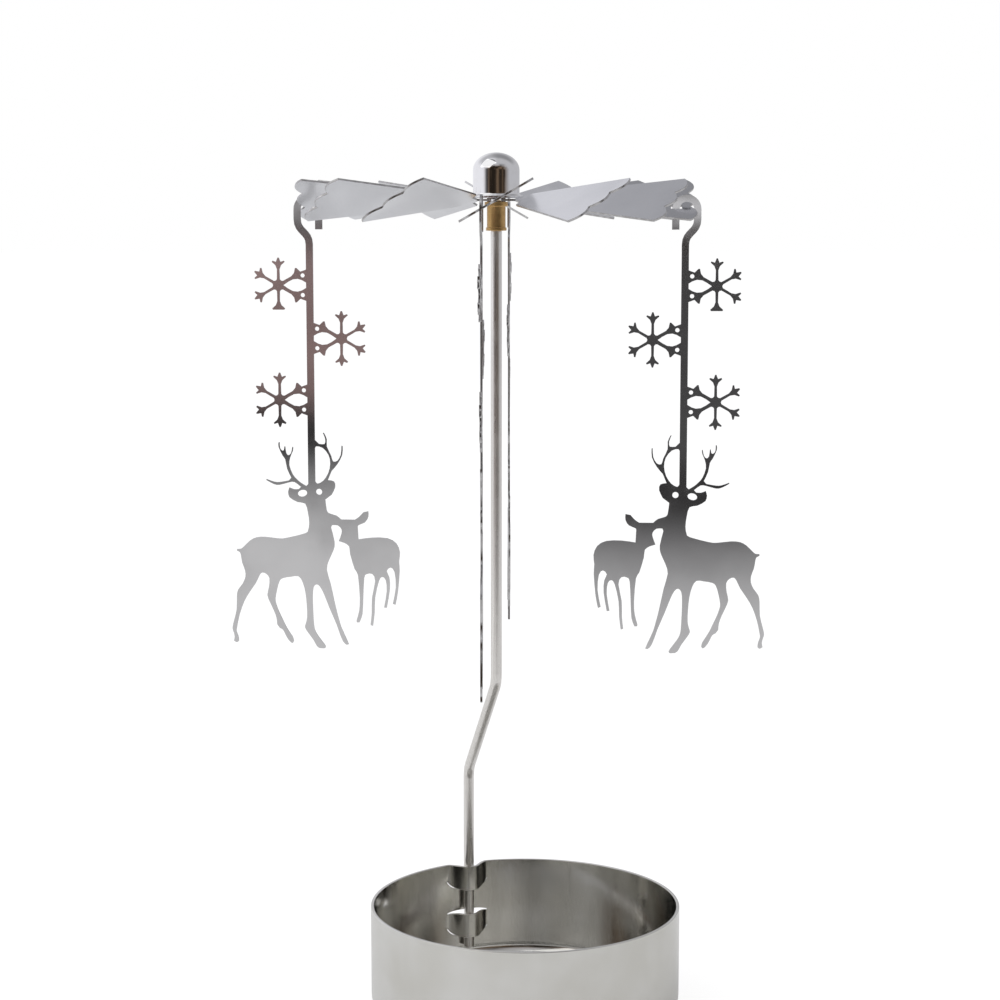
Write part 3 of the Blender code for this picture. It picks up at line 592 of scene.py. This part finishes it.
class HOLDER_OT_cup(bpy.types.Operator):
    """Make the drawn cup with its two straps"""
    bl_idname = "holder.cup"
    bl_label = "Cup"

    def execute(self, context):
        size = settings().cup
        wall = size.radius - size.sheet / 2
        bottom = size.sheet / 2
        floor_edge = wall - size.corner
        half_slit = size.slit / 2
        upper = size.height - size.strap_height
        window = upper - size.strap_spacing
        lower = window - size.strap_height

        # The middle of the sheet as rows from the floor's centre, over the corner, up the wall to the rim
        floor = np.stack([np.linspace(0, floor_edge, FLOOR_RINGS), np.full(FLOOR_RINGS, bottom)], axis=1)[:-1]
        corner = arc((floor_edge, bottom + size.corner), size.corner, -90, 0, CORNER_STEPS)

        # Bands of the wall: bottom, top, how far each of them bends at a strap's ends, and whether pressed in
        up = size.strap_round
        down = -size.strap_round_top
        bands = [
            (corner[-1, 1] + size.slit, lower - half_slit, 0, up, 0),
            (lower + half_slit, window - half_slit, up, down, 1),
            (window + half_slit, upper - half_slit, down, up, 0),
            (upper + half_slit, size.height, up, 0, 1),
        ]
        bottoms, tops, bends_below, bends_above, presses = np.array(bands).T
        heights = np.linspace(bottoms, tops, BAND_ROWS).T.ravel()
        bends = np.linspace(bends_below, bends_above, BAND_ROWS).T.ravel()
        plain_rows = np.zeros(len(floor) + len(corner))
        radius = np.concatenate([floor[:, 0], corner[:, 0], np.full(len(heights), wall)])
        height = np.concatenate([floor[:, 1], corner[:, 1], heights])
        lift = np.concatenate([plain_rows, bends])
        pressed = np.concatenate([plain_rows, np.repeat(presses, BAND_ROWS)])

        # Round the wall: the strap's columns first, with their place from its middle, 0, to its ends, 1
        strap = np.linspace(-1, 1, STRAP_COLUMNS)
        half_angle = size.strap_half / wall
        round_the_rest = np.linspace(half_angle, 2 * np.pi - half_angle, WALL_COLUMNS)[1:-1]
        turn = np.concatenate([strap * half_angle, round_the_rest]) + size.strap_azimuth
        place = np.concatenate([np.abs(strap), np.ones(len(round_the_rest))])
        inward = size.strap_depth * eased((1 - place) / (1 - size.strap_flat))

        reach = radius[:, None] - pressed[:, None] * inward[None, :]
        level = height[:, None] + lift[:, None] * place[None, :] ** size.strap_power
        points = np.stack([size.offset + reach * np.cos(turn), reach * np.sin(turn), level], axis=-1)
        faces = quads(len(radius), len(turn), closed=True)
        cut = (pressed[1:] != pressed[:-1])[:, None] & (np.arange(len(turn)) < len(strap) - 1)[None, :]
        mesh = surface("cup", points, faces[~cut])

        materials = [drawn_cup(settings().finish, size.offset)]
        piece = add_piece("cup", mesh, materials, "cup", ["candle_cup"])
        thicken(piece, size.sheet, size.edge)
        return {"FINISHED"}


class HOLDER_OT_rod(bpy.types.Operator):
    """Make the cranked wire with its needle point"""
    bl_idname = "holder.rod"
    bl_label = "Rod"

    def execute(self, context):
        size = settings().rod
        cup = settings().cup
        foot = np.array([cup.offset + size.circle * math.cos(cup.strap_azimuth),
                         size.circle * math.sin(cup.strap_azimuth)])
        away = np.linalg.norm(foot)
        lean = math.atan2(away, size.crank_high - size.crank_low)
        tangent = size.bend * math.tan(lean / 2)
        low = size.crank_low - tangent
        high = size.crank_high + tangent
        top = ROD_HIGH.z
        cut_end = ROD_LOW.z

        # Along the wire, from the cut end to the point: height and radius at the foot, bends and needle
        foot_up = np.array([cut_end, cut_end, cut_end + size.chamfer, low - size.bend])
        foot_thick = np.array([0.0, size.radius - size.chamfer, size.radius, size.radius])
        bends = np.linspace(0, lean, CRANK_STEPS)
        bends_back = bends[::-1]
        tip = np.radians([90, 60, 30, 0])
        needle_up = np.array([high + size.bend, top - size.needle, *(top - size.point * (1 - np.cos(tip)))])
        needle_thick = np.array([size.radius, size.radius, *(size.point * np.sin(tip))])
        at_foot = np.zeros(len(foot_up))
        at_needle = np.zeros(len(needle_up))

        up = np.concatenate([
            foot_up, low + size.bend * np.sin(bends), high - size.bend * np.sin(bends_back), needle_up])
        thick = np.concatenate([foot_thick, np.full(2 * len(bends), size.radius), needle_thick])

        # Distance from the fan's axis and lean of the wire at the same places
        out = np.concatenate([
            at_foot + away, away - size.bend * (1 - np.cos(bends)),
            size.bend * (1 - np.cos(bends_back)), at_needle])
        tilt = np.concatenate([at_foot, bends, bends_back, at_needle])

        outward = np.array([*(foot / away), 0.0])
        aside = np.array([-outward[1], outward[0], 0.0])
        upward = np.array([0.0, 0.0, 1.0])
        turn = np.linspace(0, 2 * np.pi, WIRE_SIDES, endpoint=False)[None, :, None]
        middle = out[:, None] * outward + up[:, None] * upward
        across = np.cos(tilt)[:, None] * outward + np.sin(tilt)[:, None] * upward
        ring = np.cos(turn) * across[:, None] + np.sin(turn) * aside
        points = middle[:, None] + thick[:, None, None] * ring
        mesh = surface("rod", points, quads(len(out), turn.shape[1], closed=True))
        add_piece("rod", mesh, [bright_wire(settings().finish)], "stand", ["stand_rod"])
        return {"FINISHED"}


class HOLDER_OT_fan(bpy.types.Operator):
    """Make the twelve-bladed fan"""
    bl_idname = "holder.fan"
    bl_label = "Fan"

    def place(self, reach, across, middle, lean):
        """A point along a blade, across it and lifted by its lean, with the blade turned to its place."""
        size = settings().fan
        side = across * np.cos(lean)
        x = reach * np.cos(middle) - side * np.sin(middle)
        y = reach * np.sin(middle) + side * np.cos(middle)
        return np.stack(np.broadcast_arrays(x, y, size.level + across * np.sin(lean)), axis=-1)

    def tip(self, across):
        """Distance of the lobed tip from the axis: parabolas of height lobe_rise between equal steps."""
        size = settings().fan
        lobe = 2 * size.tip_half / size.lobes
        part = np.mod(across + size.tip_half, lobe) / lobe
        return size.corner + 4 * size.lobe_rise * part * (1 - part)

    def blade(self, middle, slotted):
        """A blade as a grid: rows run out from the root, columns follow the neck, the slot and the sides."""
        size = settings().fan
        slot_end = float(self.tip(size.slot_side)) - size.bridge
        slot_start = slot_end - size.slot_length
        inner = np.linspace(size.root, slot_start, BLADE_ROWS)
        slot_rows = np.linspace(slot_start, slot_end, SLOT_ROWS)[1:]
        rows = np.concatenate([inner, slot_rows])
        slope = (size.tip_half - size.root_half) / (size.corner - size.root)
        half = size.root_half + slope * (rows - size.root)

        # Marks across a row: side, slot, neck and side, which move from the root's places to the slot's
        part = np.clip((rows - size.root) / (slot_start - size.root), 0, 1)[:, None]
        slot_inner = size.slot_side + size.slot_half
        neck_at_slot = -slot_inner - size.slot_half
        shoulder = size.root_half - size.neck_half
        slot_at_root = size.neck_half + shoulder * np.array(size.slot_marks)
        at_root = np.array([*-slot_at_root, -size.neck_half, size.neck_half])
        at_slot = np.array([size.slot_side - size.slot_half, slot_inner, -neck_at_slot, neck_at_slot])
        between = at_root + (at_slot - at_root) * part
        marks = np.hstack([-half[:, None], between, half[:, None]])
        columns = [marks[:, k, None] + (marks[:, k + 1] - marks[:, k])[:, None] * np.arange(count) / count
                   for k, count in enumerate(BLADE_COLUMNS)]
        across = np.concatenate([*columns, marks[:, -1:]], axis=1)
        reach = np.broadcast_to(rows[:, None], across.shape)

        # Beyond the slot the rows bend into the lobed tip
        edge = np.clip(across[-1] * size.tip_half / half[-1], -size.tip_half, size.tip_half)
        edge_reach = self.tip(edge)
        part = np.linspace(0, 1, TIP_ROWS)[1:, None]
        reach = np.vstack([reach, rows[-1] + part * (edge_reach - rows[-1])])
        across = np.vstack([across, across[-1] + part * (edge - across[-1])])

        faces = quads(*across.shape)
        if slotted:
            row = np.arange(faces.shape[0])[:, None]
            column = np.arange(faces.shape[1])[None, :]
            in_rows = (row >= len(inner) - 1) & (row < len(rows) - 1)
            slot_column = BLADE_COLUMNS[0]
            in_columns = (column >= slot_column) & (column < slot_column + BLADE_COLUMNS[1])
            faces = faces[~(in_rows & in_columns)]
        return self.place(reach, across, middle, size.pitch).reshape(-1, 3), faces.reshape(-1, 4)

    def neck(self, middle):
        """A neck from the hub's edge to the blade's root, twisting by an eased share of the pitch."""
        size = settings().fan
        part = np.linspace(0, 1, NECK_ROWS)[:, None]
        side = np.linspace(-1, 1, NECK_COLUMNS)[None, :] * size.neck_half
        hub_edge = np.sqrt(size.hub ** 2 - side ** 2)
        reach = hub_edge + (size.root - hub_edge) * part
        lean = size.pitch * eased(part)
        grid = self.place(reach, np.broadcast_to(side, reach.shape), middle, lean)
        return grid.reshape(-1, 3), quads(*reach.shape).reshape(-1, 4)

    def hub(self):
        """The hub disc as rings, whose outer points meet the necks' inner ends."""
        size = settings().fan
        sector = 2 * math.pi / size.blades
        neck_angles = np.arcsin(np.linspace(-1, 1, NECK_COLUMNS) * size.neck_half / size.hub)
        gap_angles = np.linspace(neck_angles[-1], sector + neck_angles[0], GAP_COLUMNS)[1:-1]
        one = np.concatenate([neck_angles, gap_angles])
        turn = (np.arange(size.blades)[:, None] * sector + one[None, :]).reshape(-1)
        reach = np.linspace(size.hole, size.hub, HUB_RINGS)[:, None]
        level = np.full((len(reach), len(turn)), size.level)
        points = np.stack([reach * np.cos(turn), reach * np.sin(turn), level], axis=-1)
        return points.reshape(-1, 3), quads(len(reach), len(turn), closed=True).reshape(-1, 4)

    def execute(self, context):
        size = settings().fan
        blades_to_a_figure = size.blades // len(FIGURE_NODES)
        parts = [self.hub()]
        for number in range(size.blades):
            middle = number * 2 * math.pi / size.blades
            slotted = number % blades_to_a_figure == 0
            parts.append(self.neck(middle))
            parts.append(self.blade(middle, slotted))
        starts = np.cumsum([0] + [len(points) for points, _ in parts[:-1]])
        points = np.vstack([points for points, _ in parts])
        faces = np.vstack([faces + start for (_, faces), start in zip(parts, starts)])
        mesh = surface("fan", points, faces, merge=2e-6)
        finish = settings().finish
        materials = [satin_sheet(finish), cut_edge(finish)]
        piece = add_piece("fan", mesh, materials, "rotor", ["rotor_fan"], smooth_angle=30)
        thicken(piece, size.sheet, size.edge, edge_material=1)
        return {"FINISHED"}


class HOLDER_OT_hub(bpy.types.Operator):
    """Make the chromed cap and the brass sleeve, and finish the seat inside them"""
    bl_idname = "holder.hub"
    bl_label = "Cap and sleeve"

    def execute(self, context):
        size = settings().hub
        finish = settings().finish
        flange = CAP_HIGH.x
        side = flange - size.cap_flange
        inside = side - size.cap_sheet
        crown = CAP_HIGH.z - size.cap_crown
        flange_top = CAP_LOW.z + size.cap_sheet

        # The cap's profile: the flange, whose last corner gives way to the cove, then the dome and its lining
        flange_corners = [(inside, CAP_LOW.z), (flange, CAP_LOW.z), (flange, flange_top), (side, flange_top)]
        last_corner = ROUND_STEPS + 2
        foot = rounded(flange_corners, size.edge)[:-last_corner]
        cove = arc((side + size.cap_cove, flange_top + size.cap_cove), size.cap_cove, 270, 180, COVE_STEPS)
        dome = arc((0, 0), 1, 0, 90, DOME_STEPS) * (side, size.cap_crown) + (0, crown)
        lining_crown = size.cap_crown - size.cap_sheet
        lining = arc((0, 0), 1, 90, 0, LINING_STEPS) * (inside, lining_crown) + (0, crown)
        profile = np.vstack([foot, cove, dome, lining, [(inside, CAP_LOW.z + size.edge)], foot[:1]])
        cap = spun("cap", profile, CAP_SIDES)
        add_piece("cap", cap, [chromed_cap(finish)], "rotor", ["hub_cap"])

        lip = size.sleeve_radius + size.lip
        lip_top = SLEEVE_LOW.z + size.lip_height
        shoulder_bottom = size.shoulder_top - size.shoulder_height
        corners = [
            (size.sleeve_bore, SLEEVE_LOW.z), (lip, SLEEVE_LOW.z),
            (lip, lip_top), (size.sleeve_radius, lip_top),
            (size.sleeve_radius, shoulder_bottom), (size.shoulder, shoulder_bottom),
            (size.shoulder, size.shoulder_top), (size.sleeve_radius, size.shoulder_top),
            (size.sleeve_radius, SLEEVE_HIGH.z), (size.sleeve_bore, SLEEVE_HIGH.z),
        ]
        sleeve = spun("sleeve", rounded(corners, size.edge), SLEEVE_SIDES)
        add_piece("sleeve", sleeve, [turned_brass(finish)], "rotor", ["bearing_sleeve"])

        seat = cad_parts["pivot_seat"]
        seat.data.materials.clear()
        seat.data.materials.append(hard_seat(finish))
        return {"FINISHED"}


def points_of(mesh):
    """A mesh's points as the rows of an array."""
    points = np.empty(len(mesh.vertices) * 3)
    mesh.vertices.foreach_get("co", points)
    return points.reshape(-1, 3)


def cut_in_strips(work, heights, sliver):
    """Cuts a mesh along level planes, so that it can be twisted without creases, and closes slivers."""
    for height in heights:
        everything = [*work.verts, *work.edges, *work.faces]
        bmesh.ops.bisect_plane(work, geom=everything, plane_co=(0, 0, height), plane_no=(0, 0, 1))
    bmesh.ops.remove_doubles(work, verts=work.verts, dist=sliver)
    bmesh.ops.dissolve_degenerate(work, edges=work.edges, dist=sliver)


def twist_sheet(mesh, twist, drop):
    """Turns a hanging sheet about its upright middle line: turn = twist * eased(depth / drop)."""
    points = points_of(mesh)
    turn = twist * eased((points[:, 2].max() - points[:, 2]) / drop)
    middle = points[:, :2].mean(axis=0)
    x, y = (points[:, :2] - middle).T
    points[:, 0] = middle[0] + x * np.cos(turn) - y * np.sin(turn)
    points[:, 1] = middle[1] + x * np.sin(turn) + y * np.cos(turn)
    mesh.vertices.foreach_set("co", points.ravel())
    mesh.update()


class HOLDER_OT_figures(bpy.types.Operator):
    """Make the four cut-sheet figures"""
    bl_idname = "holder.figures"
    bl_label = "Figures"

    def execute(self, context):
        size = settings().figure
        finish = settings().finish
        materials = [polished_sheet(finish), bpy.data.materials.get("cut_edge") or cut_edge(finish)]
        for node in FIGURE_NODES:
            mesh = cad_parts[node].data.copy()
            mesh.materials.clear()
            work = bmesh.new()
            work.from_mesh(mesh)
            bmesh.ops.remove_doubles(work, verts=work.verts, dist=size.merge)
            bmesh.ops.dissolve_limit(work, angle_limit=size.flat, verts=work.verts, edges=work.edges,
                                     delimit={"NORMAL"})
            flat = max(work.faces, key=lambda face: face.calc_area()).normal.copy()
            for face in work.faces:
                face.material_index = 0 if abs(face.normal.dot(flat)) > size.facing else 1
            if node in TWISTED_NODES:
                z = points_of(mesh)[:, 2]
                cut_in_strips(work, np.arange(z.min() + size.strip, z.max(), size.strip), size.sliver)
            work.to_mesh(mesh)
            work.free()
            if node in TWISTED_NODES:
                twist_sheet(mesh, size.twist, size.twist_drop)
            body = node.replace("figure", "hanger")
            piece = add_piece(node + "_sheet", mesh, materials, body, [node], smooth_angle=35)
            break_edges(piece, size.edge, edge_material=1)
        return {"FINISHED"}


class HOLDER_OT_stage(bpy.types.Operator):
    """Make the floor, the light and the camera"""
    bl_idname = "holder.stage"
    bl_label = "Stage"

    def floor(self, size):
        """A pale table: white to the camera with its shadows kept, fading into shade on the viewer's side."""
        reach = np.linspace(-0.5, 0.5, TABLE_POINTS) * size.floor_size
        x, y = np.meshgrid(reach, reach)
        points = np.stack([x, y, np.zeros_like(x)], axis=-1)
        floor = bpy.data.objects.new("floor", surface("floor", points, quads(*x.shape)))
        bpy.context.scene.collection.objects.link(floor)

        made = bpy.data.materials.new("pale_table")
        made.use_nodes = True
        tree = made.node_tree
        start = Socket(tree)
        shader = tree.nodes["Principled BSDF"]
        shader.inputs["Roughness"].default_value = size.floor_rough
        place = start.add("ShaderNodeTexCoord", output="Object")
        seen = start.add("ShaderNodeLightPath", output="Is Camera Ray")
        side = start.add("ShaderNodeSeparateXYZ", None, {0: place}, output="X")
        front = -1 * start.add("ShaderNodeSeparateXYZ", None, {0: place}, output="Y")
        right = (side + size.split_slope * front).step(*size.split)
        # Far out on the left the boards turn lighter: painted light, in place of more light falling there
        warm = front.step(*size.painted_light_far).blend(size.boards_warm, size.boards_far_painted_light)
        left_side = front.step(*size.rise_left).blend(size.far_table, warm)
        left_side = front.step(*size.fade_left).blend(size.paper, left_side)
        right_side = front.step(*size.rise_right).blend(size.far_table, size.boards)
        right_side = front.step(*size.fade_right).blend(size.paper, right_side)
        mirrored = right.blend(left_side, right_side)
        start.feed(shader.inputs["Base Color"], seen.blend(mirrored, size.paper))
        white = start.add("ShaderNodeEmission", None, {"Strength": size.floor_white})
        lit = Socket(tree, shader.outputs[0])
        mixed = start.add("ShaderNodeMixShader", None, {0: size.floor_share * seen, 1: lit, 2: white})
        tree.links.new(mixed.output, tree.nodes["Material Output"].inputs["Surface"])
        floor.data.materials.append(made)

    def sky(self, size):
        """White to the camera and behind the object, even to matt surfaces, dim on the viewer's side.

        A mirrored ray passes through the lamp, so the sky behind the lamp is dark and the two don't add up.
        """
        world = bpy.data.worlds.new("studio")
        bpy.context.scene.world = world
        world.use_nodes = True
        tree = world.node_tree
        start = Socket(tree)
        direction = start.add("ShaderNodeTexCoord", output="Generated")
        x, y, z = [start.add("ShaderNodeSeparateXYZ", None, {0: direction}, output=axis) for axis in "XYZ"]
        shade = 1 - size.shade * x.step(*size.shade_side)
        ceiling = 1 - size.ceiling * z.step(*size.ceiling_up) * y.step(*size.ceiling_back)
        lamp_x, lamp_y, lamp_z = size.lamp_place.normalized()
        off_lamp = lamp_x * x + lamp_y * y + lamp_z * z
        beside_lamp = 1 - size.lamp_cover * off_lamp.step(*size.lamp_reach)
        open_side = (shade * ceiling * beside_lamp).blend((0.0, 0.0, 0.0), size.open_sky)

        pattern = {"Vector": direction, "Scale": size.room_cloud, "Detail": size.room_detail}
        cloud = start.add("ShaderNodeTexNoise", None, pattern)
        uneven = size.room_uneven * (cloud - 0.5)
        shut = (1 - (y + uneven).step(*size.room_back)) * (1 - (z + uneven).step(*size.room_up))
        room = cloud.step(*size.room_patches).blend(size.room, size.room_brown)
        strip = z.step(*size.daylight_low) * (1 - z.step(*size.daylight_high))
        strip = strip * (1 - y.step(*size.daylight_back))
        mirrored = strip.blend(shut.blend(open_side, room), size.daylight)

        camera = start.add("ShaderNodeLightPath", output="Is Camera Ray")
        matt = start.add("ShaderNodeLightPath", output="Is Diffuse Ray")
        even = matt.blend(mirrored, (size.sky, size.sky, size.sky))
        background = tree.nodes["Background"]
        start.feed(background.inputs["Color"], camera.blend(even, (1.0, 1.0, 1.0)))

    def execute(self, context):
        size = settings().stage
        self.floor(size)
        self.sky(size)
        lamp = bpy.data.objects.new("soft_lamp", bpy.data.lights.new("soft_lamp", "AREA"))
        lamp.data.energy = size.lamp_power
        lamp.data.size = size.lamp_side
        lamp.location = size.lamp_place
        lamp.rotation_euler = (-lamp.location).to_track_quat("-Z", "Y").to_euler()
        camera = bpy.data.objects.new("camera", bpy.data.cameras.new("camera"))
        camera.data.lens = size.lens
        camera.data.sensor_width = size.film
        camera.data.clip_start = size.near
        camera.location = size.camera_place
        camera.rotation_euler = (math.pi / 2 - size.camera_pitch, 0, 0)
        for item in (lamp, camera):
            bpy.context.scene.collection.objects.link(item)
        bpy.context.scene.camera = camera
        bpy.context.scene.view_settings.view_transform = "Standard"
        return {"FINISHED"}


PIECES = (HOLDER_OT_cup, HOLDER_OT_rod, HOLDER_OT_fan, HOLDER_OT_hub, HOLDER_OT_figures, HOLDER_OT_stage)


class HOLDER_PT_panel(bpy.types.Panel):
    """Lists the pieces of the holder"""
    bl_label = "Tealight holder"
    bl_idname = "HOLDER_PT_panel"
    bl_space_type = "VIEW_3D"
    bl_region_type = "UI"
    bl_category = "Tealight holder"

    def draw(self, context):
        for piece in PIECES:
            self.layout.operator(piece.bl_idname)


GROUPS = (CupSizes, RodSizes, FanSizes, HubSizes, FigureSizes, Finishes, StageSizes, HolderSettings)


def register():
    for made in (*GROUPS, *PIECES, HOLDER_PT_panel):
        bpy.utils.register_class(made)
    bpy.types.Scene.tealight_holder = PointerProperty(type=HolderSettings)


def unregister():
    del bpy.types.Scene.tealight_holder
    for made in reversed((*GROUPS, *PIECES, HOLDER_PT_panel)):
        bpy.utils.unregister_class(made)


def main():
    register()
    bpy.ops.holder.cup()
    bpy.ops.holder.rod()
    bpy.ops.holder.fan()
    bpy.ops.holder.hub()
    bpy.ops.holder.figures()
    bpy.ops.holder.stage()


if __name__ == "__main__":
    main()
